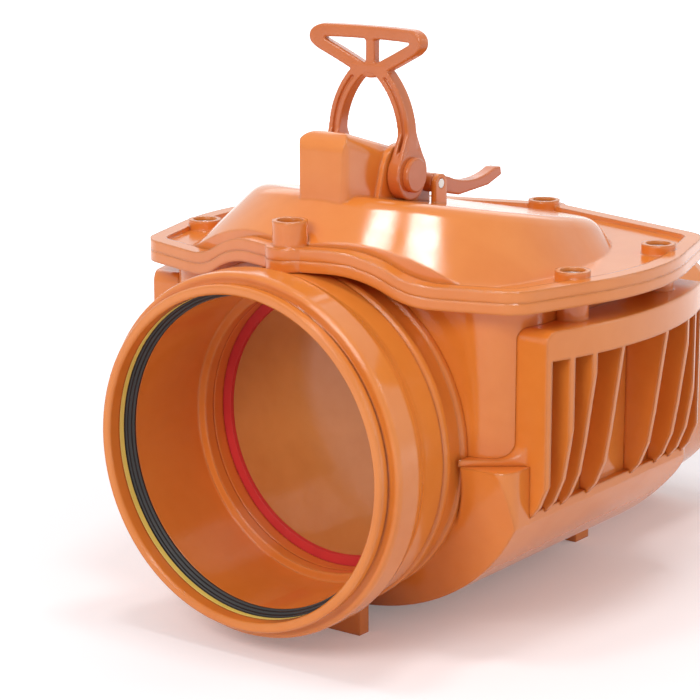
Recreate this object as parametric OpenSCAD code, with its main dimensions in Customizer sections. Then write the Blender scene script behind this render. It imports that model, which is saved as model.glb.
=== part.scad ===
// Backwater valve for a sewer pipe: an inlet socket with a ring seal, a chamber with a hinged flap,
// a bolted lid whose handle locks the flap shut, and an outlet spigot.
// +X runs downstream, +Z is up. The origin lies on the inlet axis, at the pipe stop of the socket.

/* [Pipe connection] */
// Outside diameter of the drain pipe
pipe_od = 160; // [156:1:164]
// Wall of the drain pipe
pipe_wall = 4.7; // [4:0.1:6]
// Radial room between the pipe and the socket bore
pipe_room = 0.5; // [0.4:0.1:0.8]
// Depth of the inlet socket, from its mouth to the pipe stop
socket_depth = 68; // [64:1:80]
// Wall of the socket
socket_wall = 8; // [7:0.5:9]
// Drop from the inlet axis to the outlet axis
outlet_drop = 15; // [10:1:17]
// Length of the outlet spigot past the chamber
spigot_len = 124; // [100:1:160]
// Wall of the outlet spigot
spigot_wall = 4.7; // [4:0.1:6]

/* [Chamber] */
// Length of the chamber between its front and rear panels
chamber_len = 179; // [175:1:190]
// Wall of the chamber
wall = 4.5; // [3.5:0.5:5.5]
// Depth of the bowl below the inlet axis
bowl_depth = 98; // [96:1:99]
// Half width of the straight-sided tub over the bowl
tub_half_w = 113; // [111:0.5:114]
// Reach of the bowl's trough past the tub's sides, at the inlet axis
bowl_reach = 13; // [12:0.5:14]
// Radius of the bowl's lower corners
bowl_corner_r = 64; // [60:1:68]
// Lean of the bowl's front, in degrees
bowl_front_lean = 15; // [10:1:18]
// Thickness of the body's flange under the lid
flange_t = 5.7; // [5:0.1:6.5]
// Height of the feet's soles below the inlet axis
foot_z = 102; // [101:0.5:106]

/* [Flanks] */
// Height of the shelf above the inlet axis
shelf_z = 66; // [60:1:68]
// Height of the skirt under the shelf's edge
skirt_h = 15; // [10:1:20]
// Thickness of the flank's plates
rib_t = 3.2; // [2.4:0.2:4]
// Reach of the flanks past the tub's sides, at the widest place
flank_reach = 27; // [25:0.5:29]

/* [Lid] */
// Reach of the lid past the chamber's ends, before its outline is rounded
lid_end_reach = 40; // [38:0.2:42]
// Reach of the lid past the tub's sides, before its outline is rounded
lid_reach = 34.5; // [33:0.5:36]
// Thickness of the lid's flange
lid_t = 3.6; // [3:0.2:4.4]
// Height of the raised rim around the lid's flange
rim_h = 2.4; // [1.6:0.2:3]
// Width of the raised rim
rim_w = 9; // [7:0.5:10]
// Wall of the lid's dome and tower
lid_wall = 3.5; // [3:0.1:4]
// Height of the dome over the spindle's place, above the lid's seam
dome_h = 35; // [33:0.5:36]
// Fall of the dome towards the outlet, in degrees
dome_fall = 10.5; // [9:0.5:12]
// Diameter of the screw bosses
boss_d = 18; // [17:0.5:20]
// Diameter of the lid screws
screw_d = 6; // [5:0.5:7]

/* [Lock lever] */
// Height of the spindle above the lid's seam
spindle_rise = 48.6; // [47:0.2:50]
// Distance of the spindle behind the chamber's front panel
spindle_back = 40; // [39:0.5:41]
// Diameter of the spindle
spindle_d = 10; // [9:0.5:11]
// Half width of the lever tower
tower_half_w = 15; // [14:0.5:16]
// Height of the tower's top above the spindle
tower_rise = 27; // [25:0.5:30]
// Height of the handle's top above the spindle
handle_rise = 74.5; // [70:0.5:84]
// Half width of the handle's grip
grip_half_w = 36.5; // [35:0.5:36.5]
// Thickness of the handle's bars
bar_t = 7; // [6:0.5:8]

/* [Flap] */
// Thickness of the flap plate
plate_t = 2; // [1.5:0.1:3]
// Thickness of the red flap seal
seal_t = 2; // [1.6:0.1:2.6]
// Width of the red seal inside the seat opening
seal_show = 5.4; // [4:0.2:7]
// Diameter of the flap's hinge pin
hinge_d = 6; // [5:0.5:7]

/* [Hidden] */
$fn = 64;

// Colours of the real materials
pvc_orange = "#d8792f";
handle_orange = "#cf7040";
seal_black = "#2b2c2e";
support_yellow = "#d8c25e";
flap_red = "#b8202c";
flap_brown = "#b06c3c";
steel_grey = "#b9b4ae";
brass = "#b5933f";

// Fits: a running shaft, a seated piece, and the gap between bodies that must not touch
run_room = 0.05;
seat_room = 0.1;
free_room = 0.3;
// A cut runs this far past the face that it opens
over = 1;
// Longer than anything on the part, for half spaces
far = 600;

// Radii on the two pipe axes
pipe_r = pipe_od / 2;
bore_r = pipe_r + pipe_room;
pass_r = pipe_r - pipe_wall;
neck_r = bore_r + socket_wall - 2.5;
collar_r = neck_r + 3.5;
bead_r = bore_r + socket_wall + 4.9;

// Level of the outlet axis
outlet_z = -outlet_drop;

// Stations along the pipe, downstream of the pipe stop
panel_x = 7;
seat_x = panel_x + 8;
rear_x = panel_x + chamber_len;
lid_cx = panel_x + chamber_len / 2;
mouth_x = -socket_depth;

// Levels of the lid joint and of the arch over the inlet neck
seam_z = pipe_r + 1.4;
flange_z = seam_z - flange_t;
arch_h = collar_r + 0.5 - flange_z;
lid_z = seam_z + lid_t;
arch_end_x = panel_x + 13;
arch_flat = 24;
arch_foot = 76;

// Widths that follow the tub
bowl_half_w = tub_half_w + bowl_reach;
bowl_flat_w = tub_half_w + 4;
flank_half_w = tub_half_w + flank_reach;

// Outline of the lid
lid_half_len = chamber_len / 2 + lid_end_reach;
lid_half_w = tub_half_w + lid_reach;
lid_corner = [chamber_len / 2 + 3, lid_half_w - 29];
lid_end_r = 30;
lid_corner_r = 20;
lid_side_r = 150;
lid_points = [
    [lid_half_len, 0, lid_end_r], [lid_corner.x, lid_corner.y, lid_corner_r],
    [0, lid_half_w, lid_side_r], [-lid_corner.x, lid_corner.y, lid_corner_r],
    [-lid_half_len, 0, lid_end_r], [-lid_corner.x, -lid_corner.y, lid_corner_r],
    [0, -lid_half_w, lid_side_r], [lid_corner.x, -lid_corner.y, lid_corner_r]];

// Screw places on the lid: four beside the dome, one at each end
boss_side = [43, tub_half_w + 5];
boss_end_x = lid_half_len - 9.9;
boss_bulge_r = 12.5;
boss_hole_d = boss_d - 5;
screw_head_d = boss_hole_d - 2;
screw_head_h = 4.5;
screw_sink = 0.6;
screw_room = 0.3;
hex_d = screw_head_d * 0.55;
hex_h = 2.6;
insert_d = screw_d + 4;
insert_h = flange_t - 0.7;
insert_sink = 0.2;
boss_side_h = 5.5;
boss_front_h = 15;

// Spindle and handle
spindle_x = panel_x + spindle_back;
spindle_z = seam_z + spindle_rise;
spindle_r = spindle_d / 2;
ear_y = tower_half_w + 3;
arm_y = ear_y + 0.5;
knuckle_r = 13.2;
bush_r = spindle_r + 3;
cap_t = 3;
spindle_half = arm_y + bar_t;

// Flap hinge, at the top of the chamber behind the seat
hinge_x = seat_x + 19;
hinge_z = seam_z + 2.6;
hinge_r = hinge_d / 2;
barrel_r = hinge_r + 4;
barrel_half = 20;
lug_t = 8;
lug_y = barrel_half + 0.5;
flap_r = pass_r + 3.7;
seal_x = seat_x + free_room;
plate_x = seal_x + seal_t;
frame_x = plate_x + plate_t;
frame_t = 5;

// Revolves a profile of [x, radius] points about the X axis
module about_x(points) {
    rotate([0, 90, 0])
        rotate_extrude($fn = 128)
            polygon([for (p = points) [p.y, p.x]]);
}

// Extrudes a profile drawn in Y and Z from x0 to x1
module along_x(x0, x1) {
    translate([x0, 0, 0])
        rotate([90, 0, 90])
            linear_extrude(x1 - x0) children();
}

// Extrudes a profile drawn in X and Z from y0 to y1
module along_y(y0, y1) {
    translate([0, y1, 0])
        rotate([90, 0, 0])
            linear_extrude(y1 - y0) children();
}

// A round bar along Y
module bar_y(x, z, r, y0, y1) {
    along_y(y0, y1) translate([x, z]) circle(r);
}

// A round bar along Z
module bar_z(x, y, r, z0, z1) {
    translate([x, y, z0]) cylinder(r = r, h = z1 - z0);
}

// Makes a piece and its twin on the other side of the centre plane
module both_sides() {
    children();
    mirror([0, 1, 0]) children();
}

// Unit vector and outward normal of an edge of an outline that runs counter-clockwise
function unit(v) = v / norm(v);
function normal_of(a, b) = let (u = unit([b.x - a.x, b.y - a.y])) [u.y, -u.x];
function corner_reach(n1, n2) = (n1 + n2) / (1 + n1 * n2);

// A convex outline of [x, y, radius] corners, moved inwards by inset
module rounded_outline(points, inset = 0) {
    count = len(points);
    after = [for (i = [0 : count - 1]) normal_of(points[i], points[(i + 1) % count])];
    before = [for (i = [0 : count - 1]) after[(i + count - 1) % count]];
    reach = [for (i = [0 : count - 1]) corner_reach(before[i], after[i])];
    centres = [for (i = [0 : count - 1]) [points[i].x, points[i].y] - reach[i] * points[i].z];
    radii = [for (p = points) p.z - inset];
    polygon([for (i = [0 : count - 1])
        each [centres[i] + before[i] * radii[i], centres[i] + after[i] * radii[i]]]);
    for (i = [0 : count - 1])
        intersection() {
            translate(centres[i]) circle(radii[i]);
            polygon([for (v = [[0, 0], before[i], reach[i], after[i]]) centres[i] + v * radii[i]]);
        }
}

// Bell curve of the flange's arch: a flat top that falls through two tangent arcs to a level foot
arch_top_share = 0.58;
module half_bell(below) {
    turn = 2 * atan(arch_h / (arch_foot - arch_flat));
    both_r = (arch_foot - arch_flat) / sin(turn);
    top_r = both_r * arch_top_share;
    foot_r = both_r - top_r;
    knee = [arch_flat + top_r * sin(turn), arch_h - top_r + top_r * cos(turn)];
    difference() {
        union() {
            polygon([[0, -below], [arch_foot, -below], [arch_foot, 0], knee, [arch_flat, arch_h],
                [0, arch_h]]);
            intersection() {
                translate([arch_flat, arch_h - top_r]) circle(top_r);
                translate([0, -below]) square([arch_foot, arch_h + below]);
            }
        }
        translate([arch_foot, foot_r]) circle(foot_r);
    }
}

module bell(below = 0) {
    half_bell(below);
    mirror([1, 0]) half_bell(below);
}

// Outline of the lid on the plan, moved inwards by inset
module lid_plan(inset = 0) {
    translate([lid_cx, 0]) {
        rounded_outline(lid_points, inset);
        for (s = [-1, 1])
            translate([s * boss_end_x, 0]) circle(boss_bulge_r - inset);
    }
}

// Outline of the tub on the plan, moved inwards by inset
tub_corner_r = 28;
module tub_plan(inset = 0) {
    rounded_outline([[panel_x, -tub_half_w, tub_corner_r], [rear_x, -tub_half_w, tub_corner_r],
        [rear_x, tub_half_w, tub_corner_r], [panel_x, tub_half_w, tub_corner_r]], inset);
}

// Everything under a level that arches up over the inlet neck
module under_arch(z) {
    translate([-far / 2, -far]) square([far, far + z]);
    translate([0, z]) bell();
}

// A plate with the lid's outline between two levels, arched at the front
module arched_plate(z0, z1, inset = 0) {
    intersection() {
        translate([0, 0, -far / 2]) linear_extrude(far) lid_plan(inset);
        union() {
            along_x(-far / 2, arch_end_x)
                difference() {
                    under_arch(z1);
                    under_arch(z0);
                }
            translate([arch_end_x, -far / 2, z0]) cube([far, far, z1 - z0]);
        }
    }
}

// The six screw places: [x, y, height of the seam there]
screw_places = concat(
    [for (sx = [-1, 1], sy = [-1, 1]) [lid_cx + sx * boss_side.x, sy * boss_side.y, seam_z]],
    [[lid_cx - boss_end_x, 0, seam_z + arch_h], [lid_cx + boss_end_x, 0, seam_z]]);
function boss_height(p) = p.y == 0 && p.x < lid_cx ? boss_front_h : boss_side_h;

// Inlet socket: mouth lip, bead over the ring seal, and the two collars of the joint to the chamber
lip_r = bore_r + 2.7;
lip_len = 8;
groove_len = 9.5;
groove_r = bead_r - 3.4;
socket_r = bore_r + socket_wall;
bead_x = mouth_x + lip_len;
module inlet_socket() {
    color(pvc_orange) difference() {
        union() {
            about_x([
                [mouth_x, lip_r + 1], [mouth_x, lip_r + 4.2], [mouth_x + 0.8, lip_r + 5],
                [bead_x - 2.6, lip_r + 5], [bead_x - 2, lip_r + 3.6], [bead_x - 0.6, lip_r + 3.6],
                [bead_x - 0.4, bead_r - 2], [bead_x + 0.5, bead_r - 0.6], [bead_x + 2.4, bead_r],
                [bead_x + 16, bead_r], [bead_x + 19, bead_r - 0.8], [bead_x + 26, socket_r + 0.6],
                [bead_x + 29, socket_r], [-16.5, socket_r], [-16, socket_r - 0.8],
                [-15.2, socket_r - 0.8], [-15, collar_r - 0.6], [-14.4, collar_r],
                [-11.2, collar_r], [-10.5, collar_r - 0.8], [-10.3, neck_r],
                [2.6, neck_r], [2.8, neck_r + 1.2], [3.4, neck_r + 1.8],
                [panel_x - 0.6, neck_r + 1.8], [panel_x, neck_r + 1.2],
                [panel_x, pass_r], [0, pass_r], [0, bore_r], [bead_x + groove_len, bore_r],
                [bead_x + groove_len, groove_r], [bead_x, groove_r], [bead_x, lip_r],
                [mouth_x + 1, lip_r]]);
            // Pad on the neck that carries the flange's arch
            intersection() {
                translate([0, 0, arch_h + flange_z - seat_room - bore_r - 2])
                    about_x([[bead_x + 24, 0], [-17, 0], [-17, bore_r + 2], [bead_x + 24, bore_r + 2]]);
                along_x(mouth_x, panel_x) translate([-arch_foot, bore_r / 2]) square([2 * arch_foot, far]);
            }
        }
        // The free bore stays clear under the pad
        about_x([[bead_x + groove_len, 0], [0, 0], [0, bore_r], [bead_x + groove_len, bore_r]]);
    }
}

// Ring seal in the bead: a stiff yellow ring in front of a black lip ring
support_len = 3.6;
seal_lip_r = bore_r - 0.35;
module socket_seal_support() {
    color(support_yellow) about_x([
        [bead_x, lip_r + 0.6], [bead_x + 0.8, lip_r + 0.2], [bead_x + support_len, lip_r + 0.2],
        [bead_x + support_len, groove_r], [bead_x, groove_r]]);
}

module socket_seal() {
    color(seal_black) about_x([
        [bead_x + support_len, lip_r + 0.2], [bead_x + support_len + 1.2, lip_r],
        [bead_x + 8.2, seal_lip_r], [bead_x + 9.2, seal_lip_r],
        [bead_x + groove_len - 0.2, bore_r + 1.2], [bead_x + groove_len, bore_r + 1.6],
        [bead_x + groove_len, groove_r], [bead_x + support_len, groove_r]]);
}

// Bowl of the chamber: a three-arc trough with a leaning front and a plain rear panel
bowl_side = bowl_half_w - bowl_corner_r;
bowl_sag = bowl_depth - bowl_corner_r;
bowl_cz = (bowl_side * bowl_side - bowl_sag * bowl_sag) / (2 * bowl_sag);
bowl_r = bowl_depth + bowl_cz;
bowl_edge_r = 12;
shoulder_z = -28;
ledge_x = panel_x - 10;
module bowl_section(inset) {
    tangent = unit([bowl_side, -bowl_cz]);
    reach = [bowl_side, 0] + tangent * bowl_corner_r * 1.2;
    for (s = [-1, 1])
        translate([s * bowl_side, 0]) circle(bowl_corner_r - inset);
    intersection() {
        translate([0, bowl_cz]) circle(bowl_r - inset, $fn = 128);
        polygon([[0, bowl_cz], [-reach.x, reach.y], [-reach.x, -far], [reach.x, -far], reach]);
    }
    translate([-bowl_side, -bowl_sag]) square([2 * bowl_side, bowl_sag + bowl_corner_r]);
}

// The trough below a level, moved inwards by inset
module bowl(inset, top_z) {
    shift = inset / cos(bowl_front_lean);
    intersection() {
        along_x(-far / 2, far)
            intersection() {
                bowl_section(inset);
                translate([-far / 2, top_z - far]) square([far, far]);
            }
        translate([0, 0, -far / 2]) linear_extrude(far)
            rounded_outline([[ledge_x, -bowl_flat_w, bowl_edge_r], [rear_x, -bowl_flat_w, bowl_edge_r],
                [rear_x, bowl_flat_w, bowl_edge_r], [ledge_x, bowl_flat_w, bowl_edge_r]], inset);
        along_y(-far / 2, far / 2)
            polygon([[ledge_x + shift, far], [ledge_x + shift, 0],
                [ledge_x + shift + far * tan(bowl_front_lean), -far], [far, -far], [far, far]]);
    }
}

// Straight-sided tub over the bowl
module tub(inset, z0, z1) {
    translate([0, 0, z0]) linear_extrude(z1 - z0) tub_plan(inset);
}

// Space inside the chamber, behind the seat wall; the flange leaves a lip around its opening
seat_wall = 6;
opening_inset = wall + 3;
module chamber_space() {
    intersection() {
        union() {
            tub(wall, shoulder_z + wall, flange_z);
            tub(opening_inset, shoulder_z + wall, seam_z + arch_h + over);
            bowl(wall, shoulder_z - wall);
            intersection() {
                bowl(wall, shoulder_z + wall + over);
                tub(wall, -far / 2, 0);
            }
        }
        translate([panel_x + seat_wall, -far / 2, -far / 2]) cube(far);
    }
    // Room for the flap's edge around the seat
    about_x([[seat_x, 0], [seat_x, flap_r + 2.5], [seat_x + 25, flap_r + 2.5], [seat_x + 25, 0]]);
}

// Groove and cord of the lid gasket, on the lip around the chamber's opening
gasket_w = 3;
gasket_h = 2;
gasket_inset = opening_inset - gasket_w - 1.5;
module gasket_band(room = 0) {
    intersection() {
        arched_plate(seam_z - gasket_h - room, seam_z + room);
        translate([0, 0, -far / 2]) linear_extrude(far)
            difference() {
                tub_plan(gasket_inset - room);
                tub_plan(gasket_inset + gasket_w + room);
            }
    }
}

module lid_gasket() {
    color(seal_black) gasket_band();
}

// Lugs behind the seat that hold the flap's hinge pin
lug_root_z = flap_r + 3;
module hinge_lugs() {
    both_sides() along_y(lug_y, lug_y + lug_t)
        difference() {
            union() {
                translate([hinge_x, hinge_z]) circle(barrel_r);
                polygon([[panel_x + 1, lug_root_z], [hinge_x, hinge_z - barrel_r],
                    [hinge_x, hinge_z + barrel_r], [panel_x + 1, hinge_z + barrel_r]]);
            }
            translate([hinge_x, hinge_z]) circle(hinge_r + run_room);
        }
}

// Chamber moulding: tub, bowl, seat, flange, hinge lugs and the ledge beside the neck
module valve_body() {
    color(pvc_orange) difference() {
        union() {
            difference() {
                union() {
                    tub(0, shoulder_z - over, seam_z);
                    bowl(0, shoulder_z);
                    // Shoulder under the ledge, in front of the flanks
                    intersection() {
                        bowl(0, -rib_t - seat_room);
                        translate([-far / 2, -far / 2, -far / 2])
                            cube([far / 2 + flank_front_x - seat_room, far, far]);
                    }
                    arched_plate(flange_z, seam_z);
                    // Front wall between the seat and the arch
                    along_x(panel_x, panel_x + seat_wall)
                        intersection() {
                            under_arch(seam_z);
                            translate([-arch_foot, 0]) square([2 * arch_foot, far]);
                        }
                    about_x([[panel_x, 0], [panel_x, neck_r], [seat_x + 9, neck_r], [seat_x + 9, 0]]);
                }
                chamber_space();
                about_x([[panel_x - over, 0], [panel_x - over, pass_r], [seat_x + 30, pass_r],
                    [seat_x + 30, 0]]);
            }
            // Seat ring
            about_x([[panel_x + seat_wall - 1, pass_r], [panel_x + seat_wall - 1, flap_r + 2],
                [seat_x - 0.5, flap_r + 2], [seat_x, flap_r + 1.5], [seat_x, pass_r]]);
            hinge_lugs();
        }
        // Neck joint, outlet passage, gasket groove and the holes of the threaded inserts
        about_x([[-far / 2, 0], [-far / 2, neck_r + 3], [panel_x, neck_r + 3], [panel_x, 0]]);
        translate([0, 0, outlet_z])
            about_x([[rear_x - wall - 30, 0], [rear_x - wall - 30, pipe_r - spigot_wall],
                [rear_x + over, pipe_r - spigot_wall], [rear_x + over, 0]]);
        gasket_band(seat_room);
        for (p = screw_places)
            bar_z(p.x, p.y, insert_d / 2 + seat_room, p.z - insert_h, p.z + over);
    }
}

// Outlet spigot: plain pipe end, as wide as the drain pipe, with a root collar and a lead-in chamfer
root_len = 27;
root_r = pipe_r + 4;
lead_in = [10, 2.6];
module outlet_spigot() {
    end_x = rear_x + spigot_len;
    color(pvc_orange) translate([0, 0, outlet_z])
        about_x([[rear_x, pipe_r - spigot_wall], [rear_x, root_r], [rear_x + root_len - 1, root_r],
            [rear_x + root_len, root_r - 1], [rear_x + root_len, pipe_r], [end_x - lead_in.x, pipe_r],
            [end_x, pipe_r - lead_in.y], [end_x, pipe_r - spigot_wall]]);
}

// Flanks: shelf, skirt, end plates and transverse ribs on each side of the chamber
flank_r = 220;
flank_inset = 11.5;
flank_front_x = panel_x + flank_inset;
flank_rear_x = rear_x - flank_inset;
rib_offsets = [14, 29, 54];
flank_edge_r = 6;
ledge_fillet_r = 8;
module flank_plan() {
    translate([lid_cx, flank_half_w - flank_r]) circle(flank_r, $fn = 256);
}

module flank_ring() {
    difference() {
        intersection() {
            flank_plan();
            translate([flank_front_x, 0]) square([flank_rear_x - flank_front_x, far]);
        }
        tub_plan(-seat_room);
    }
}

// Side view of a rib: its free edge leans in towards the bowl and runs out on it. The edge's points
// are given as the distance in from the flank's widest line and the height
rib_top_in = 3.5;
rib_edge = [[10, 5], [13, -12], [18, -24], [27, -35]];
rib_root = [tub_half_w / 2, -60];
module rib_profile() {
    polygon(concat(
        [[rib_root.x, shelf_z - over], [far, shelf_z - over], [far, shelf_z - skirt_h],
            [flank_half_w - rib_top_in, shelf_z - skirt_h]],
        [for (p = rib_edge) [flank_half_w - p.x, p.y]],
        [rib_root]));
}

// Side view of a flank: its upper edges are rounded
module flank_side() {
    rounded_outline([[flank_front_x, -far / 2, flank_edge_r], [flank_rear_x, -far / 2, flank_edge_r],
        [flank_rear_x, shelf_z, flank_edge_r], [flank_front_x, shelf_z, flank_edge_r]]);
}

// Ledge beside the neck, level with the inlet axis, that bends up into the flank's front plate
module flank_ledge() {
    fillet_x = flank_front_x - ledge_fillet_r;
    intersection() {
        translate([0, 0, -rib_t]) linear_extrude(rib_t + ledge_fillet_r)
            polygon([[ledge_x - 1, neck_r], [flank_front_x + 1, bowl_flat_w - 1],
                [flank_front_x + 1, neck_r]]);
        along_y(0, far)
            difference() {
                translate([ledge_x - 1, -rib_t])
                    square([flank_front_x + 2 - ledge_x, rib_t + ledge_fillet_r]);
                translate([fillet_x, ledge_fillet_r]) circle(ledge_fillet_r);
                translate([fillet_x - far, 0]) square([far, far]);
            }
    }
}

// One flank, with its plates, ribs, ledge and the pillars under the side screws
module flank() {
    front_ribs = [for (r = rib_offsets) flank_front_x + r];
    rear_ribs = [for (r = rib_offsets) flank_rear_x - rib_t - r];
    difference() {
        union() {
            intersection() {
                union() {
                    translate([0, 0, shelf_z - rib_t]) linear_extrude(rib_t) flank_ring();
                    // Skirt along the shelf's edge
                    translate([0, 0, shelf_z - skirt_h]) linear_extrude(skirt_h)
                        difference() {
                            flank_ring();
                            translate([0, -rib_t]) flank_plan();
                        }
                    for (x = concat([flank_front_x, flank_rear_x - rib_t], front_ribs, rear_ribs))
                        intersection() {
                            along_x(x, x + rib_t) rib_profile();
                            translate([0, 0, -far / 2]) linear_extrude(far) flank_plan();
                        }
                }
                along_y(0, far) flank_side();
            }
            flank_ledge();
            for (s = [-1, 1])
                bar_z(lid_cx + s * boss_side.x, boss_side.y, boss_d / 2 - 0.5, shelf_z - over,
                    flange_z - seat_room);
        }
        // Cleared where the chamber's own walls are
        tub(-seat_room, shoulder_z - over, seam_z);
        bowl(-seat_room, shoulder_z + seat_room);
        about_x([[-far / 2, 0], [-far / 2, neck_r + 2], [seat_x + 9, neck_r + 2], [seat_x + 9, 0]]);
    }
}

module flank_left() {
    color(pvc_orange) flank();
}

module flank_right() {
    color(pvc_orange) mirror([0, 1, 0]) flank();
}

// Feet: a cross plate under the inlet neck and one under the outlet's root collar
front_foot = [8, 32];
rear_foot = [14, 40];
module foot(x0, size, axis_z, r) {
    difference() {
        translate([x0, -size.y, -foot_z]) cube([size.x, 2 * size.y, foot_z - r * 0.7]);
        translate([0, 0, axis_z])
            about_x([[x0 - over, 0], [x0 - over, r], [x0 + size.x + over, r], [x0 + size.x + over, 0]]);
    }
}

module feet() {
    color(pvc_orange) {
        foot(-front_foot.x, front_foot, 0, neck_r + seat_room);
        foot(rear_x + (root_len - rear_foot.x) / 2, rear_foot, outlet_z, root_r + seat_room);
    }
}

// Dome of the lid: a flat top with round ends, which falls on all sides through a round shoulder,
// a straight slope and a hollow foot
dome_core_r = 78;
dome_ends = [panel_x + 5 + dome_core_r, rear_x - dome_core_r];
dome_deep = 38;
dome_slope = 50;
dome_top_r = 14.5;
dome_foot_r = 12;
dome_under = 60;
module dome_half(inset) {
    lean = [sin(dome_slope), cos(dome_slope)];
    straight = (dome_deep - (dome_top_r + dome_foot_r) * (1 - lean.y)) / tan(dome_slope);
    top_c = [dome_core_r, dome_deep - dome_top_r];
    foot_c = [dome_core_r + (dome_top_r + dome_foot_r) * lean.x + straight, dome_foot_r];
    difference() {
        union() {
            polygon([[0, -dome_under], [foot_c.x, -dome_under], [foot_c.x, -inset],
                foot_c - lean * (dome_foot_r + inset), top_c + lean * (dome_top_r - inset),
                [dome_core_r, dome_deep - inset], [0, dome_deep - inset]]);
            intersection() {
                translate(top_c) circle(dome_top_r - inset);
                translate(top_c) square(dome_top_r);
            }
        }
        translate(foot_c) circle(dome_foot_r + inset);
    }
}

module dome(inset) {
    translate([spindle_x, 0, seam_z + dome_h])
        rotate([0, dome_fall, 0])
            translate([-spindle_x, 0, -dome_deep]) {
                along_x(dome_ends[0], dome_ends[1]) {
                    dome_half(inset);
                    mirror([1, 0]) dome_half(inset);
                }
                for (end = [[dome_ends[0], 90], [dome_ends[1], -90]])
                    translate([end.x, 0, 0]) rotate([0, 0, end.y])
                        rotate_extrude(angle = 180, $fn = 128) dome_half(inset);
            }
}

// Vaulted hood in front of the dome, over the flange's arch
hood_x = panel_x - 16.5;
hood_r = 73;
hood_half_w = 36;
hood_top = seam_z + 30;
module hood(inset, x1) {
    along_x(hood_x + inset, x1)
        intersection() {
            translate([0, hood_top - hood_r]) circle(hood_r - inset, $fn = 128);
            translate([-hood_half_w + inset, 0]) square([2 * (hood_half_w - inset), far]);
        }
}

// Lever tower: it falls towards the dome, and its edges are rounded
tower_front = panel_x - 7;
tower_rear = spindle_x + 14;
tower_fall = 15;
tower_run = tower_rear - tower_front;
tower_edge_r = 8.5;
tower_corner_r = 7;
tower_foot_r = 5;
tower_top_r = 9;
tower_foot_z = seam_z - 20;
tower_root_z = seam_z + arch_h - 8;
tower_lean = [3, 2];
tower_peak = [tower_front + tower_lean.x, spindle_z + tower_rise];
tower_end = [tower_rear - tower_lean.y, tower_peak.y - tower_run * tan(tower_fall)];
module tower_profile(inset) {
    intersection() {
        rounded_outline([[tower_front, tower_foot_z, tower_foot_r], [tower_rear, tower_foot_z, tower_foot_r],
            [tower_end.x, tower_end.y, tower_top_r], [tower_peak.x, tower_peak.y, tower_top_r]], inset);
        translate([-far / 2, tower_root_z]) square([far, far]);
    }
}

module tower_plan(inset) {
    translate([tower_front, -tower_half_w])
        rounded_outline([[0, 0, tower_corner_r], [tower_run, 0, tower_corner_r],
            [tower_run, 2 * tower_half_w, tower_corner_r], [0, 2 * tower_half_w, tower_corner_r]], inset);
}

module tower(inset) {
    slope = atan2(tower_peak.y - tower_end.y, tower_end.x - tower_peak.x);
    intersection() {
        along_y(-tower_half_w + inset, tower_half_w - inset) tower_profile(inset);
        translate([0, 0, -far / 2]) linear_extrude(far) tower_plan(inset);
        translate([tower_peak.x, 0, tower_peak.y]) rotate([0, slope, 0])
            along_x(-far / 2, far / 2)
                rounded_outline([[-tower_half_w, -far / 2, tower_edge_r],
                    [tower_half_w, -far / 2, tower_edge_r], [tower_half_w, 0, tower_edge_r],
                    [-tower_half_w, 0, tower_edge_r]], inset);
    }
}

// Bearing ear beside the tower, round over the spindle and splayed towards the dome
ear_r = 15.5;
ear_foot = [24, 20];
ear_foot_z = seam_z + dome_h - 12;
ear_front = [ear_r * 0.95, ear_r * 0.3];
module ear_profile() {
    translate([spindle_x, spindle_z]) circle(ear_r);
    polygon([[spindle_x - ear_foot[0], ear_foot_z], [spindle_x + ear_foot[1], ear_foot_z],
        [spindle_x + ear_r, spindle_z], [spindle_x - ear_front.x, spindle_z + ear_front.y]]);
}

// Catch lever's place behind the right-hand knuckle
catch_x = spindle_x + knuckle_r + 8;
catch_z = spindle_z - 7;
catch_pin_r = 2.5;
catch_hub_r = 5;
catch_y = -(arm_y + bar_t / 2);
catch_room = 0.4;
bracket_t = 3;
bracket_drop = 20;
bracket_y = bar_t / 2 + catch_room + bracket_t / 2;
module catch_bracket() {
    for (y = [catch_y - bracket_y, catch_y + bracket_y])
        along_y(y - bracket_t / 2, y + bracket_t / 2)
            difference() {
                union() {
                    translate([catch_x, catch_z]) circle(catch_hub_r);
                    translate([catch_x - catch_hub_r, catch_z - bracket_drop])
                        square([2 * catch_hub_r, bracket_drop]);
                }
                translate([catch_x, catch_z]) circle(catch_pin_r + seat_room);
            }
}

// Lid: arched flange with a raised rim, dome, hood, tower, bearing ears and screw bosses
module lid() {
    opening_x = panel_x + opening_inset;
    root_z = seam_z + lid_t / 2;
    color(pvc_orange) difference() {
        union() {
            arched_plate(seam_z, lid_z);
            difference() {
                arched_plate(seam_z, lid_z + rim_h);
                translate([0, 0, -far / 2]) linear_extrude(far) lid_plan(rim_w);
            }
            difference() {
                intersection() {
                    union() {
                        dome(0);
                        hood(0, arch_end_x + 4);
                        tower(0);
                        both_sides() along_y(tower_half_w - over, ear_y) ear_profile();
                        catch_bracket();
                    }
                    translate([0, 0, root_z]) linear_extrude(far) lid_plan(rim_w + 1);
                }
                along_x(-far / 2, arch_end_x)
                    translate([0, root_z]) bell(over);
            }
            for (p = screw_places)
                bar_z(p.x, p.y, boss_d / 2, p.z, p.z + lid_t + boss_height(p));
        }
        // Hollow under the dome and the hood; the flange stays whole over the gasket
        intersection() {
            dome(lid_wall);
            tub(opening_inset, 0, far);
        }
        hood(lid_wall, panel_x);
        difference() {
            tower(lid_wall);
            translate([-far / 2, -far / 2, 0]) cube([far / 2 + opening_x, far, seam_z + arch_h + lid_t]);
        }
        bar_y(spindle_x, spindle_z, bush_r + seat_room, -ear_y - over, ear_y + over);
        for (p = screw_places) {
            bar_z(p.x, p.y, boss_hole_d / 2, p.z + lid_t - screw_sink, p.z + lid_t + boss_height(p) + over);
            bar_z(p.x, p.y, screw_d / 2 + screw_room, p.z - over, p.z + lid_t);
        }
    }
}

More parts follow.
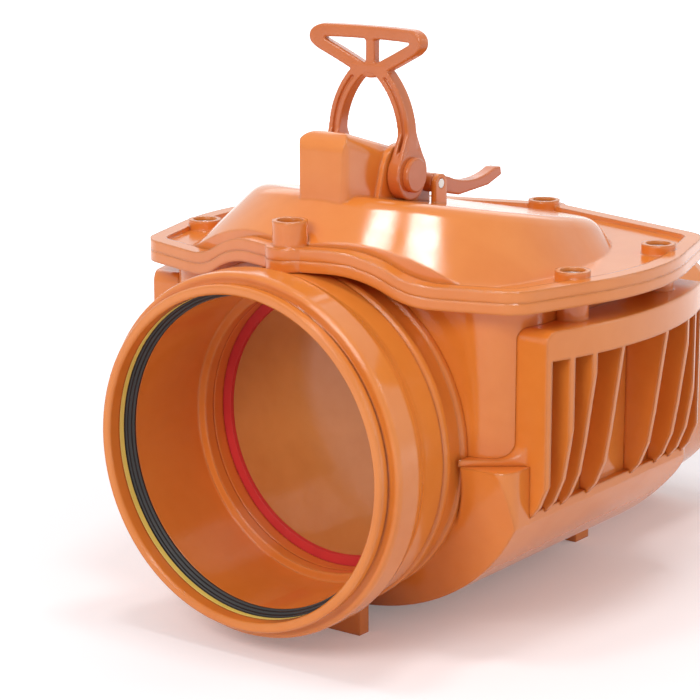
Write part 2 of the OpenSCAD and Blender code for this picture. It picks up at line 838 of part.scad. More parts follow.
// Lid screws with hexagon socket heads, and the brass inserts that they thread into
module lid_screws() {
    under = lid_t - screw_sink;
    color(steel_grey) for (p = screw_places)
        difference() {
            union() {
                bar_z(p.x, p.y, screw_head_d / 2, p.z + under, p.z + under + screw_head_h);
                bar_z(p.x, p.y, screw_d / 2, p.z - insert_h, p.z + lid_t);
            }
            translate([p.x, p.y, p.z + under + screw_head_h - hex_h])
                cylinder(d = hex_d, h = hex_h + over, $fn = 6);
        }
}

module lid_inserts() {
    color(brass) for (p = screw_places)
        difference() {
            bar_z(p.x, p.y, insert_d / 2, p.z - insert_h, p.z - insert_sink);
            bar_z(p.x, p.y, screw_d / 2 + run_room, p.z - insert_h - over, p.z + over);
        }
}

// Hinge pin of the flap and its two retaining rings
clip_t = 1.6;
clip_r = hinge_r + 2.6;
hinge_half = lug_y + lug_t + clip_t + 2;
module hinge_pin() {
    color(steel_grey) bar_y(hinge_x, hinge_z, hinge_r, -hinge_half, hinge_half);
}

module hinge_clips() {
    color(steel_grey) both_sides()
        along_y(lug_y + lug_t + seat_room, lug_y + lug_t + seat_room + clip_t)
            translate([hinge_x, hinge_z])
                difference() {
                    circle(clip_r);
                    circle(hinge_r + run_room);
                }
}

// Flap: glossy plastic plate with studs, red seal in front of it and a stiff frame behind it
stud_places = [for (a = [45 : 90 : 315]) [cos(a), sin(a)] * (flap_r - 11)];
stud_r = 2.5;
stud_end_x = frame_x + frame_t + 7;
module flap_plate() {
    color(flap_brown) {
        about_x([[plate_x, 0], [plate_x, flap_r], [plate_x + plate_t, flap_r], [plate_x + plate_t, 0]]);
        for (p = stud_places)
            translate([0, p.x, p.y])
                about_x([[plate_x + plate_t / 2, 0], [plate_x + plate_t / 2, stud_r],
                    [stud_end_x, stud_r], [stud_end_x, 0]]);
    }
}

module flap_seal() {
    color(flap_red) about_x([[seal_x, pass_r - seal_show + 0.5], [seal_x, flap_r],
        [plate_x, flap_r], [plate_x, pass_r - seal_show]]);
}

// Frame of the flap: rim, straps to the hinge barrel, and the horn that the lock arm blocks
strap_y = 12;
strap_w = 10;
horn_half = 8;
horn_t = 6;
horn_rise = 15.5;
horn_z = hinge_z + horn_rise;
frame_rim_w = 20;
frame_hub_r = 18;
strap_end = 10;
cheek_drop = 34;
cheek_reach = barrel_r * 0.7;
module flap_frame() {
    color(handle_orange) difference() {
        union() {
            about_x([[frame_x, flap_r - frame_rim_w], [frame_x, flap_r - 0.5],
                [frame_x + frame_t - 1, flap_r - 0.5], [frame_x + frame_t, flap_r - 1.5],
                [frame_x + frame_t, flap_r - frame_rim_w]]);
            // Hub and cross straps
            about_x([[frame_x, 0], [frame_x, frame_hub_r], [frame_x + frame_t, frame_hub_r],
                [frame_x + frame_t, 0]]);
            translate([frame_x, strap_end - flap_r, -strap_w / 2])
                cube([frame_t, 2 * (flap_r - strap_end), strap_w]);
            both_sides()
                translate([frame_x, strap_y - strap_w / 2, strap_end - flap_r])
                    cube([frame_t + 2, strap_w, hinge_z + flap_r - strap_end]);
            // Hinge barrel and the cheeks that join it to the straps
            bar_y(hinge_x, hinge_z, barrel_r, -barrel_half, barrel_half);
            both_sides() along_y(strap_y - strap_w / 2, strap_y + strap_w / 2)
                polygon([[frame_x, hinge_z - cheek_drop], [frame_x + frame_t, hinge_z - cheek_drop],
                    [hinge_x + cheek_reach, hinge_z - cheek_reach], [hinge_x, hinge_z],
                    [frame_x, hinge_z - 3]]);
            translate([hinge_x - horn_t / 2, -horn_half, hinge_z])
                cube([horn_t, 2 * horn_half, horn_z - hinge_z]);
        }
        bar_y(hinge_x, hinge_z, hinge_r + run_room, -barrel_half - over, barrel_half + over);
        for (p = stud_places)
            translate([0, p.x, p.y])
                about_x([[frame_x - over, 0], [frame_x - over, stud_r + free_room],
                    [frame_x + frame_t + over, stud_r + free_room], [frame_x + frame_t + over, 0]]);
    }
}

nut_d = 9.2;
nut_h = 4;
module flap_nuts() {
    color(steel_grey) for (p = stud_places)
        translate([frame_x + frame_t, p.x, p.y])
            rotate([0, 90, 0])
                difference() {
                    cylinder(d = nut_d, h = nut_h, $fn = 6);
                    translate([0, 0, -over]) cylinder(r = stud_r + run_room, h = nut_h + 2 * over);
                }
}

// Spindle of the handle, with its bushes and O-rings in the tower's walls
oring_w = 2;
module spindle() {
    color(steel_grey) bar_y(spindle_x, spindle_z, spindle_r, -spindle_half, spindle_half);
}

module spindle_bushes() {
    color(seal_black) both_sides()
        difference() {
            bar_y(spindle_x, spindle_z, bush_r, tower_half_w - lid_wall, ear_y);
            bar_y(spindle_x, spindle_z, spindle_r + run_room, 0, far);
            bar_y(spindle_x, spindle_z, spindle_r + oring_w, tower_half_w, tower_half_w + oring_w);
        }
}

module spindle_orings() {
    color(seal_black) both_sides()
        translate([spindle_x, tower_half_w + oring_w / 2, spindle_z])
            rotate([90, 0, 0])
                rotate_extrude()
                    translate([spindle_r + oring_w / 2 + run_room, 0]) circle(oring_w / 2 - run_room);
}

// Handle: two bowed arms on the spindle's ends, joined under a boat-shaped grip ring
bow_r = 45.8;
bow_z = spindle_z + 17.8;
bow_y = arm_y + bar_t / 2 - bow_r;
grip_z = spindle_z + handle_rise;
vee_z = grip_z - 23.5;
bar_half = bar_t / 2 + 0.3;
module bar_depth() {
    along_x(spindle_x - bar_half, spindle_x + bar_half) children();
}

// The ring of the grip, drawn in Y and Z: its lower end, its horn and its top, each with a radius
grip_wall = bar_t - 0.4;
grip_vee_r = 12;
grip_horn = [[grip_half_w, grip_z - 14, 7], [grip_half_w - 1, grip_z - 2.6, 8]];
grip_top = [0, grip_z + 0.6, 60];
module grip_outline(inset) {
    rounded_outline([[0, vee_z, grip_vee_r], grip_horn[0], grip_horn[1], grip_top,
        [-grip_horn[1].x, grip_horn[1].y, grip_horn[1].z],
        [-grip_horn[0].x, grip_horn[0].y, grip_horn[0].z]], inset);
}

// One bowed arm and the straight stub under it
arm_lap = 8;

module arm_outline() {
    intersection() {
        translate([bow_y, bow_z])
            difference() {
                circle(bow_r + bar_t / 2, $fn = 128);
                circle(bow_r - bar_t / 2, $fn = 128);
            }
        translate([0, bow_z]) square([far, vee_z + arm_lap - bow_z]);
    }
    translate([arm_y, spindle_z]) square([bar_t, bow_z - spindle_z]);
}

// Groove along an arm, on its front and its back
groove_w = 1.6;
groove_d = 1.5;
groove_stub = 10;
groove_end_z = vee_z - 2;
module arm_groove() {
    intersection() {
        translate([bow_y, bow_z])
            difference() {
                circle(bow_r + groove_w / 2, $fn = 128);
                circle(bow_r - groove_w / 2, $fn = 128);
            }
        translate([0, bow_z]) square([far, groove_end_z - bow_z]);
    }
    translate([arm_y + (bar_t - groove_w) / 2, bow_z - groove_stub]) square([groove_w, groove_stub]);
}

web_half = 3;
module handle() {
    color(handle_orange) difference() {
        union() {
            bar_depth() difference() {
                grip_outline(0);
                difference() {
                    grip_outline(grip_wall);
                    translate([-web_half, vee_z]) square([2 * web_half, handle_rise]);
                }
            }
            bar_depth() {
                arm_outline();
                mirror([1, 0]) arm_outline();
            }
            both_sides() bar_y(spindle_x, spindle_z, knuckle_r, arm_y, arm_y + bar_t);
        }
        both_sides() bar_y(spindle_x, spindle_z, spindle_r + run_room, arm_y - over, arm_y + bar_t + over);
        for (x = [spindle_x - bar_half, spindle_x + bar_half])
            along_x(x - groove_d, x + groove_d) {
                arm_groove();
                mirror([1, 0]) arm_groove();
            }
    }
}

// Round caps on the outer faces of the knuckles
cap_r = 9;
cap_edge = 0.8;
module end_caps() {
    color(handle_orange) both_sides()
        translate([spindle_x, arm_y + bar_t, spindle_z])
            rotate([-90, 0, 0])
                rotate_extrude()
                    polygon([[0, 0], [cap_r, 0], [cap_r, cap_t - cap_edge], [cap_r - cap_edge, cap_t],
                        [0, cap_t]]);
}

// Lock arm on the middle of the spindle; its toe stands in front of the flap's horn
lock_half = 5;
lock_hub_r = spindle_r + 3;
lock_root_half = 5;
toe_t = 7;
toe_len = 6;
toe_x = hinge_x - horn_t / 2 - free_room - toe_t / 2;
toe_z = horn_z - 2;
module lock_arm() {
    along = unit([toe_x - spindle_x, toe_z + toe_len - spindle_z]);
    across = [-along.y, along.x];
    tip = [toe_x, toe_z + toe_len];
    hub = [spindle_x, spindle_z];
    color(handle_orange) difference() {
        along_y(-lock_half, lock_half) {
            translate(hub) circle(lock_hub_r);
            polygon([hub + across * lock_root_half, hub - across * lock_root_half,
                tip - across * toe_t / 2, tip + across * toe_t / 2]);
            translate(tip) circle(toe_t / 2);
            translate([toe_x - toe_t / 2, toe_z]) square([toe_t, toe_len]);
        }
        bar_y(spindle_x, spindle_z, spindle_r + run_room, -lock_half - over, lock_half + over);
        lock_pin_shape(lock_pin_r + run_room, lock_hub_r + over);
    }
}

// Cross pin through the arm's hub, which keys it to the spindle
lock_pin_r = 1.5;
module lock_pin_shape(r, half) {
    translate([spindle_x, 0, spindle_z - half]) cylinder(r = r, h = 2 * half);
}

module lock_arm_pin() {
    color(steel_grey) difference() {
        lock_pin_shape(lock_pin_r, lock_hub_r);
        bar_y(spindle_x, spindle_z, spindle_r + run_room, -lock_half, lock_half);
    }
}

// Catch lever: a hub on its pin and a spoon-shaped finger that runs back over the dome
finger_len = 62;
finger_points = [[0, 4.4], [12, 1.6], [finger_len, 0.5], [finger_len + 1, -4], [finger_len - 12, -8],
    [22, -9.5], [0, -4.6]];
spoon_r = 63;
spoon_deep = 3;
spoon_x = finger_len * 0.58;
module catch_lever() {
    y0 = catch_y - bar_t / 2;
    color(handle_orange) difference() {
        union() {
            bar_y(catch_x, catch_z, catch_hub_r, y0, y0 + bar_t);
            along_y(y0, y0 + bar_t)
                translate([catch_x, catch_z])
                    difference() {
                        polygon(finger_points);
                        // Spoon hollow along the finger's top
                        translate([spoon_x, spoon_r - spoon_deep]) circle(spoon_r, $fn = 128);
                    }
        }
        bar_y(catch_x, catch_z, catch_pin_r + run_room, y0 - over, y0 + bar_t + over);
    }
}

module catch_pin() {
    reach = bracket_y + bracket_t / 2;
    color(steel_grey) bar_y(catch_x, catch_z, catch_pin_r, catch_y - reach, catch_y + reach);
}

inlet_socket();
valve_body();
flank_left();
flank_right();
outlet_spigot();
feet();
socket_seal();
socket_seal_support();
lid();
lid_gasket();
lid_screws();
lid_inserts();
hinge_pin();
hinge_clips();
flap_plate();
flap_seal();
flap_frame();
flap_nuts();
spindle();
spindle_bushes();
spindle_orings();
handle();
end_caps();
lock_arm();
lock_arm_pin();
catch_lever();
catch_pin();
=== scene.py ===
import math

import bpy
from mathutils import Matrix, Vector


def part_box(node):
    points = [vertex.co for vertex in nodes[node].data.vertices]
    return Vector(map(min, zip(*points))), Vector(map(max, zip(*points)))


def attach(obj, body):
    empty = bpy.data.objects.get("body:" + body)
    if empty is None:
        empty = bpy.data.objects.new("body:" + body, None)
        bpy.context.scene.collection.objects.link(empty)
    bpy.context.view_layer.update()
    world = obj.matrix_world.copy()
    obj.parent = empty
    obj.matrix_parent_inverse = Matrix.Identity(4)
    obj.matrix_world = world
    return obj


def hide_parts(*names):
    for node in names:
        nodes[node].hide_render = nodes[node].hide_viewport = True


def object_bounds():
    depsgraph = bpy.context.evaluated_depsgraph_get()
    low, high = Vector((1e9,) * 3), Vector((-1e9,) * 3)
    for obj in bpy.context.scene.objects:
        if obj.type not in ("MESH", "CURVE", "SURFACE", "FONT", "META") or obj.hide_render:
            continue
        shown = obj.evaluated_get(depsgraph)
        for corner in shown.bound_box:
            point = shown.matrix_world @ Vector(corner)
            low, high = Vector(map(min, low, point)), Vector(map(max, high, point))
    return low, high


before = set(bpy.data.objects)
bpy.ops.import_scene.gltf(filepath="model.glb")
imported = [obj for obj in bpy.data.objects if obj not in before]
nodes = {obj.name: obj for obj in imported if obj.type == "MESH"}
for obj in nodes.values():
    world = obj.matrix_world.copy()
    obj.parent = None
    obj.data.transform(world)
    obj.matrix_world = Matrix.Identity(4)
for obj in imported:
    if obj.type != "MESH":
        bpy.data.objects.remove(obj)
cad_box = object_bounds()

# Housing: the socket, the chamber, its ribbed flanks, the outlet and the feet are moulded in
# orange-brown PVC-U and welded together. The skin is glossy, its colour drifts a little with the flow
# of the melt, and every edge is as round as the mould's.


def linear(hex_code):
    """sRGB hex colour to the linear values that a shader takes."""
    parts = [int(hex_code[i:i + 2], 16) / 255 for i in (1, 3, 5)]
    return [c / 12.92 if c <= 0.04045 else ((c + 0.055) / 1.055) ** 2.4 for c in parts] + [1.0]


def add(tree, kind, settings=None, links=None):
    """Adds a node, sets its properties and sockets, and links other nodes' outputs into it."""
    node = tree.nodes.new(kind)
    for name, value in (settings or {}).items():
        if isinstance(name, str) and hasattr(node, name):
            setattr(node, name, value)
        else:
            node.inputs[name].default_value = value
    for name, output in (links or {}).items():
        tree.links.new(output, node.inputs[name])
    return node


def new_material(name):
    """An empty node tree with its output; gives the material, tree, output and Object coordinates."""
    material = bpy.data.materials.new(name)
    material.use_nodes = True
    tree = material.node_tree
    tree.nodes.clear()
    output = add(tree, "ShaderNodeOutputMaterial")
    place = add(tree, "ShaderNodeTexCoord")
    return material, tree, output, place.outputs["Object"]


def wear(obj, material):
    """Gives a piece one material in place of what it has."""
    obj.data.materials.clear()
    obj.data.materials.append(material)


MM = 0.001
FLOW_MARK = 55 * MM
CLOUD = 9 * MM
SKIN_GRAIN = 0.9 * MM
RIPPLE = 38 * MM
PLASTIC_IOR = 1.54
EDGE_SAMPLES = 4
WAVE_PERIOD = 0.314  # spacing of the Wave node's bands at a scale of 1


def moulded_plastic(name, body, flow, roughness, edge_r, grain_depth, ripple_depth, ridge=0):
    """Moulded plastic or rubber: drifting colour, fine grain, faint sink ripples, rounded edges and, on a
    seal, ridges that run round the pipe's axis."""
    material, tree, output, place = new_material(name)
    marks = add(tree, "ShaderNodeTexNoise", {"Scale": 1 / FLOW_MARK, "Detail": 3.0, "Distortion": 0.9},
                {"Vector": place})
    clouds = add(tree, "ShaderNodeTexNoise", {"Scale": 1 / CLOUD, "Detail": 4.0}, {"Vector": place})
    drift = add(tree, "ShaderNodeMix", {"data_type": "FLOAT", 0: 0.3},
                {2: marks.outputs["Fac"], 3: clouds.outputs["Fac"]})
    spread = add(tree, "ShaderNodeMapRange", {"From Min": 0.35, "From Max": 0.65},
                 {"Value": drift.outputs[0]})
    tint = add(tree, "ShaderNodeMix", {"data_type": "RGBA", 6: linear(body), 7: linear(flow)},
               {0: spread.outputs["Result"]})
    gloss = add(tree, "ShaderNodeMapRange", {"From Min": 0.3, "From Max": 0.7,
                                             "To Min": roughness - 0.03, "To Max": roughness + 0.05},
                {"Value": clouds.outputs["Fac"]})
    edges = add(tree, "ShaderNodeBevel", {"samples": EDGE_SAMPLES, "Radius": edge_r})
    waves = add(tree, "ShaderNodeTexNoise", {"Scale": 1 / RIPPLE, "Detail": 1.0}, {"Vector": place})
    sinks = add(tree, "ShaderNodeBump", {"Strength": 1.0, "Distance": ripple_depth},
                {"Height": waves.outputs["Fac"], "Normal": edges.outputs["Normal"]})
    grain = add(tree, "ShaderNodeTexNoise", {"Scale": 1 / SKIN_GRAIN, "Detail": 2.0}, {"Vector": place})
    skin = add(tree, "ShaderNodeBump", {"Strength": 1.0, "Distance": grain_depth},
               {"Height": grain.outputs["Fac"], "Normal": sinks.outputs["Normal"]})
    if ridge:
        rings = add(tree, "ShaderNodeTexWave", {"bands_direction": "X", "Scale": WAVE_PERIOD / ridge},
                    {"Vector": place})
        skin = add(tree, "ShaderNodeBump", {"Strength": 1.0, "Distance": ridge / 4},
                   {"Height": rings.outputs["Fac"], "Normal": skin.outputs["Normal"]})
    shader = add(tree, "ShaderNodeBsdfPrincipled", {"IOR": PLASTIC_IOR},
                 {"Base Color": tint.outputs[2], "Roughness": gloss.outputs["Result"],
                  "Normal": skin.outputs["Normal"]})
    tree.links.new(shader.outputs["BSDF"], output.inputs["Surface"])
    return material


pvc = moulded_plastic("moulded_pvc", "#e18437", "#db7c2f", 0.13, 2.2 * MM, 0.004 * MM, 0.12 * MM)
for name in ("inlet_socket", "valve_body", "flank_left", "flank_right", "outlet_spigot", "feet"):
    wear(nodes[name], pvc)

# Ring seal of the socket: an almost black EPDM lip that grips the pipe, pressed into the bead's groove
# behind a stiff yellow polypropylene ring. Both are matte, and fine ridges run round the lip.
LIP_RIDGE = 1.5 * MM
lip_rubber = moulded_plastic("ridged_epdm", "#1c1d1f", "#252628", 0.5, 0.4 * MM, 0.02 * MM, 0.05 * MM,
                             LIP_RIDGE)
wear(nodes["socket_seal"], lip_rubber)
support_plastic = moulded_plastic("yellow_polypropylene", "#f6e67c", "#eedb6a", 0.42, 0.4 * MM,
                                  0.01 * MM, 0.05 * MM)
wear(nodes["socket_seal_support"], support_plastic)

# Flap: a glossy brown plate with a red rubber ring in front, held to a stiff frame by studs and nuts. It
# hangs on a steel pin that two retaining rings keep in its lugs.
flap_skin = moulded_plastic("flap_plate_plastic", "#c27c40", "#b97338", 0.14, 0.5 * MM, 0.002 * MM, 0.1 * MM)
wear(nodes["flap_plate"], flap_skin)
flap_rubber = moulded_plastic("red_flap_rubber", "#d13436", "#c52b2e", 0.4, 0.4 * MM, 0.01 * MM, 0.04 * MM)
wear(nodes["flap_seal"], flap_rubber)
lever_plastic = moulded_plastic("lever_plastic", "#cd7444", "#c66c3b", 0.3, 1.4 * MM, 0.012 * MM, 0.06 * MM)
wear(nodes["flap_frame"], lever_plastic)
TOOL_MARK = 0.3 * MM
HANDLING = 6 * MM


def turned_metal(name, tint, dark, roughness, edge_r):
    """Turned metal: fine tool marks across one direction, slightly cloudy with handling."""
    material, tree, output, place = new_material(name)
    marks = add(tree, "ShaderNodeMapping", {"Scale": (0.06, 1.0, 0.06)}, {"Vector": place})
    lines = add(tree, "ShaderNodeTexNoise", {"Scale": 1 / TOOL_MARK, "Detail": 2.0},
                {"Vector": marks.outputs["Vector"]})
    clouds = add(tree, "ShaderNodeTexNoise", {"Scale": 1 / HANDLING, "Detail": 3.0}, {"Vector": place})
    colour = add(tree, "ShaderNodeMix", {"data_type": "RGBA", 6: linear(tint), 7: linear(dark)},
                 {0: clouds.outputs["Fac"]})
    gloss = add(tree, "ShaderNodeMapRange", {"To Min": roughness - 0.06, "To Max": roughness + 0.1},
                {"Value": lines.outputs["Fac"]})
    edges = add(tree, "ShaderNodeBevel", {"samples": EDGE_SAMPLES, "Radius": edge_r})
    cut = add(tree, "ShaderNodeBump", {"Strength": 0.5, "Distance": 0.004 * MM},
              {"Height": lines.outputs["Fac"], "Normal": edges.outputs["Normal"]})
    shader = add(tree, "ShaderNodeBsdfPrincipled", {"Metallic": 1.0},
                 {"Base Color": colour.outputs[2], "Roughness": gloss.outputs["Result"],
                  "Normal": cut.outputs["Normal"]})
    tree.links.new(shader.outputs["BSDF"], output.inputs["Surface"])
    return material


steel = turned_metal("turned_stainless", "#cbc7c1", "#b5b0a9", 0.24, 0.4 * MM)
for name in ("flap_nuts", "hinge_pin", "hinge_clips"):
    wear(nodes[name], steel)

# Lid: one moulding with an arched flange, the dome, the lever tower and six screw bosses. A cord gasket
# seals it, and six socket screws hold it down in brass inserts.
wear(nodes["lid"], pvc)
cord_rubber = moulded_plastic("epdm_rubber", "#1c1d1f", "#252628", 0.55, 0.4 * MM, 0.02 * MM, 0.05 * MM)
wear(nodes["lid_gasket"], cord_rubber)
wear(nodes["lid_screws"], steel)
wear(nodes["lid_inserts"], turned_metal("turned_brass", "#b5933f", "#a27f31", 0.28, 0.3 * MM))

# Lock inside the tower: a steel spindle in two bushes with O-rings, and an arm on its middle whose toe
# stands in front of the flap's horn, keyed by a cross pin.
for name in ("spindle", "lock_arm_pin"):
    wear(nodes[name], steel)
for name in ("spindle_bushes", "spindle_orings"):
    wear(nodes[name], cord_rubber)
wear(nodes["lock_arm"], lever_plastic)

# Handle: a wishbone with a ring grip, moulded in a redder, glossy plastic. Its arms and knuckles are the
# solid's own. The ring is a square bar with soft corners whose ends sweep forward, and cheeks widen the
# arms into the knuckles. Sizes are in mm, across the handle and above the spindle's axis.
AXLE_LOW, AXLE_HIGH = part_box("spindle")
AXLE = (AXLE_LOW + AXLE_HIGH) / 2
GRIP_HALF = 32.4
GRIP_SWEEP = 4.2
GRIP_CUT = 55
RING_SIDE, WEB_SIDE = 6.6, 5.6
RING_LINE = [(0, 71.3), (14, 71.3), (24, 71.2), (29.6, 70.8), (GRIP_HALF, 68.2), (30.4, 65.4),
             (27, 63.4), (21, 60.4), (11, 55.4), (5, 52.6), (0, 51.2)]
RING_LINE += [(-across, rise) for across, rise in RING_LINE[-2:0:-1]]
WEB_LINE = [(0, 70), (0, 61), (0, 52)]
FLARE_LOW, FLARE_HIGH = (7, 10.8), (21, 3.9)
FLARE_BANDS = [(18.8, 21.1), (22.9, 25.2)]
HANDLE_VOXEL = 0.45 * MM
RING_PASSES, HANDLE_PASSES = 16, 5
WELD = 0.002 * MM


def pick(piece):
    """Makes one piece the only selected and active one."""
    bpy.ops.object.select_all(action="DESELECT")
    bpy.context.view_layer.objects.active = piece
    piece.select_set(True)


def moulding_copy(node_name, piece_name):
    """A welded copy of a node's mesh, to be shaped further."""
    piece = bpy.data.objects.new(piece_name, nodes[node_name].data.copy())
    bpy.context.scene.collection.objects.link(piece)
    pick(piece)
    bpy.ops.object.mode_set(mode="EDIT")
    bpy.ops.mesh.select_all(action="SELECT")
    bpy.ops.mesh.remove_doubles(threshold=WELD)
    bpy.ops.object.mode_set(mode="OBJECT")
    return piece


def square_bar(name, line, side, closed):
    """A square bar along a smooth line given across the handle and above the axle, swept forward outwards."""
    curve = bpy.data.curves.new(name, "CURVE")
    curve.dimensions = "3D"
    curve.bevel_depth = side / math.sqrt(2) * MM
    curve.bevel_resolution = 0  # four corners, which the tilt below turns square to the handle
    curve.resolution_u = 10
    curve.use_fill_caps = True
    spline = curve.splines.new("BEZIER")
    spline.bezier_points.add(len(line) - 1)
    for knot, (across, rise) in zip(spline.bezier_points, line):
        sweep = GRIP_SWEEP * (across / GRIP_HALF) ** 2
        knot.co = (AXLE.x - sweep * MM, across * MM, AXLE.z + rise * MM)
        knot.handle_left_type = knot.handle_right_type = "AUTO"
        knot.tilt = math.pi / 4
    spline.use_cyclic_u = closed
    bar = bpy.data.objects.new(name, curve)
    bpy.context.scene.collection.objects.link(bar)
    pick(bar)
    bpy.ops.object.convert(target="MESH")
    return bpy.context.object


def flare(side, band):
    """One of the two cheeks that widen an arm into its knuckle, on either side of the arm's groove."""
    (low, low_half), (high, high_half) = FLARE_LOW, FLARE_HIGH
    middle = Vector((AXLE.x, side * sum(band) / 2 * MM, AXLE.z + (low + high) / 2 * MM))
    bpy.ops.object.select_all(action="DESELECT")
    bpy.ops.mesh.primitive_cube_add(size=1, location=middle)
    cheek = bpy.context.object
    cheek.scale = (2 * low_half * MM, (band[1] - band[0]) * MM, (high - low) * MM)
    bpy.ops.object.transform_apply(location=True, rotation=True, scale=True)
    for corner in cheek.data.vertices:
        if corner.co.z > middle.z:
            corner.co.x = AXLE.x + (corner.co.x - AXLE.x) * high_half / low_half
    return cheek


def round_edges(piece, voxel, passes):
    """Fuses a piece into one skin and wears its edges round."""
    pick(piece)
    skin = piece.modifiers.new("skin", "REMESH")
    skin.mode = "VOXEL"
    skin.voxel_size = voxel
    bpy.ops.object.modifier_apply(modifier="skin")
    rounding = piece.modifiers.new("rounding", "SMOOTH")
    rounding.factor = 0.5
    rounding.iterations = passes
    bpy.ops.object.modifier_apply(modifier="rounding")
    bpy.ops.object.shade_smooth()


handle = moulding_copy("handle", "lever_handle")
bpy.ops.object.mode_set(mode="EDIT")
bpy.ops.mesh.select_all(action="SELECT")
bpy.ops.mesh.bisect(plane_co=(0, 0, AXLE.z + GRIP_CUT * MM), plane_no=(0, 0, 1),
                    clear_outer=True, use_fill=True)
bpy.ops.object.mode_set(mode="OBJECT")
ring = square_bar("grip_ring", RING_LINE, RING_SIDE, True)
web = square_bar("grip_web", WEB_LINE, WEB_SIDE, False)
pick(ring)
web.select_set(True)
bpy.ops.object.join()
round_edges(ring, HANDLE_VOXEL, RING_PASSES)
cheeks = [flare(side, band) for side in (-1, 1) for band in FLARE_BANDS]
pick(handle)
for piece in [ring] + cheeks:
    piece.select_set(True)
bpy.ops.object.join()
round_edges(handle, HANDLE_VOXEL, HANDLE_PASSES)
lever_gloss = moulded_plastic("glossy_lever_plastic", "#cc7038", "#c56931", 0.2, 0.8 * MM,
                              0.004 * MM, 0.05 * MM)
wear(handle, lever_gloss)
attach(handle, "lever")
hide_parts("handle")
wear(nodes["handle"], lever_gloss)
wear(nodes["end_caps"], lever_gloss)

# Catch lever: a spoon-shaped finger on its own steel pin behind the right-hand knuckle, moulded in the
# handle's plastic and rounded like it.
FINGER_VOXEL = 0.4 * MM
FINGER_PASSES = 6
finger = moulding_copy("catch_lever", "catch_finger")
round_edges(finger, FINGER_VOXEL, FINGER_PASSES)
wear(finger, lever_gloss)
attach(finger, "catch")
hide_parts("catch_lever")
wear(nodes["catch_lever"], lever_gloss)
wear(nodes["catch_pin"], steel)

# Studio: a pale floor under the soles that keeps the soft shadow, and a white surround. The floor glows for
# camera, mirror and glass rays. The glow is dim near the valve, which paints shade on the floor around it,
# and stronger further out, which keeps the far floor white. A two-pane
# # window of softboxes hangs over the dome, with large ones in front and behind and a strip at the right.
SOLE_Z = cad_box[0][2]
FLOOR_SIZE = 14.0
bpy.ops.object.select_all(action="DESELECT")
bpy.ops.mesh.primitive_plane_add(size=FLOOR_SIZE, location=(0, 0, SOLE_Z))
floor = bpy.context.object
floor.name = "studio_floor"


def seen_directly(tree):
    """1 for camera, mirror and glass rays, 0 for the rays that light other surfaces."""
    path = add(tree, "ShaderNodeLightPath")
    either = add(tree, "ShaderNodeMath", {"operation": "MAXIMUM"},
                 {0: path.outputs["Is Camera Ray"], 1: path.outputs["Is Glossy Ray"]})
    return add(tree, "ShaderNodeMath", {"operation": "MAXIMUM"},
               {0: either.outputs[0], 1: path.outputs["Is Transmission Ray"]}).outputs[0]


# Painted shade: the floor's glow rises from NEAR_LIFT within LIFT_FROM of the valve to FAR_LIFT beyond
# LIFT_TO, so the floor is painted darker around the valve.
NEAR_LIFT, FAR_LIFT = 0.16, 0.8
LIFT_FROM, LIFT_TO = 0.4, 1.1
SURROUND_LIGHT, SURROUND_SEEN = 0.54, 1.0
material, tree, output, place = new_material("studio_floor_paint")
paint = add(tree, "ShaderNodeBsdfDiffuse", {"Color": linear("#f3eef0")})
away = add(tree, "ShaderNodeVectorMath", {"operation": "LENGTH"}, {0: place})
glow_dimmed_near_valve = add(tree, "ShaderNodeMapRange", {"From Min": LIFT_FROM, "From Max": LIFT_TO,
                                        "To Min": NEAR_LIFT, "To Max": FAR_LIFT},
           {"Value": away.outputs["Value"]})
level = add(tree, "ShaderNodeMath", {"operation": "MULTIPLY"},
            {0: seen_directly(tree), 1: glow_dimmed_near_valve.outputs["Result"]})
lift = add(tree, "ShaderNodeEmission", {"Color": (1, 1, 1, 1)}, {"Strength": level.outputs[0]})
both = add(tree, "ShaderNodeAddShader", {}, {0: paint.outputs[0], 1: lift.outputs[0]})
tree.links.new(both.outputs[0], output.inputs["Surface"])
wear(floor, material)

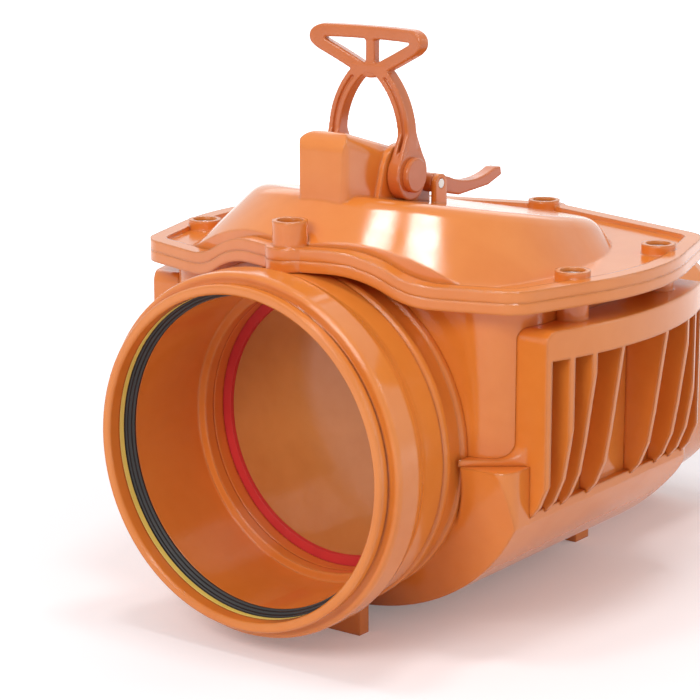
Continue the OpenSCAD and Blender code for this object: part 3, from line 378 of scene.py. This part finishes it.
world = bpy.data.worlds.new("studio_surround")
bpy.context.scene.world = world
world.use_nodes = True
tree = world.node_tree
tree.nodes.clear()
output = add(tree, "ShaderNodeOutputWorld")
level = add(tree, "ShaderNodeMapRange", {"To Min": SURROUND_LIGHT, "To Max": SURROUND_SEEN},
            {"Value": seen_directly(tree)})
surround = add(tree, "ShaderNodeBackground", {"Color": (1, 1, 1, 1)}, {"Strength": level.outputs["Result"]})
tree.links.new(surround.outputs[0], output.inputs["Surface"])


def softbox(name, place, aim, size, watts):
    """A rectangular lamp at a place, turned towards a point on the valve."""
    lamp = bpy.data.lights.new(name, "AREA")
    lamp.shape = "RECTANGLE"
    lamp.size, lamp.size_y = size
    lamp.energy = watts
    holder = bpy.data.objects.new(name, lamp)
    bpy.context.scene.collection.objects.link(holder)
    holder.location = place
    direction = [a - p for a, p in zip(aim, place)]
    flat = math.hypot(direction[0], direction[1])
    holder.rotation_euler = (math.atan2(flat, -direction[2]), 0,
                             math.atan2(direction[1], direction[0]) - math.pi / 2)


softbox("window_pane_left", (-0.14, 0.13, 1.88), (0, -0.04, 0.1), (0.22, 0.3), 4.5)
softbox("window_pane_right", (0.09, -0.36, 1.87), (0, -0.04, 0.1), (0.24, 0.36), 6)
softbox("front_softbox", (-1.8, -0.2, 1.3), (0, 0, 0), (1.0, 0.8), 20)
softbox("back_softbox", (1.8, 1.3, 1.3), (0, 0, 0), (2.0, 1.2), 7)
softbox("right_strip", (1.3, -1.5, 0.75), (0, 0, 0.05), (0.3, 1.0), 4)

# Camera: a long lens at the photograph's height and angle, on the inlet's right-front side. Angles are in
# degrees, the lens and the sensor in mm.
CAMERA_PLACE = (-1.0002, -0.7521, 0.3431)
CAMERA_YAW = 36.20
CAMERA_PITCH = 13.475
LENS, SENSOR = 129.47, 36.0
camera = bpy.data.cameras.new("photo_camera")
camera.lens = LENS
camera.sensor_width = SENSOR
holder = bpy.data.objects.new("photo_camera", camera)
bpy.context.scene.collection.objects.link(holder)
holder.location = CAMERA_PLACE
holder.rotation_euler = (math.radians(90 - CAMERA_PITCH), 0, math.radians(CAMERA_YAW - 90))
bpy.context.scene.camera = holder
bpy.context.scene.view_settings.view_transform = "Standard"
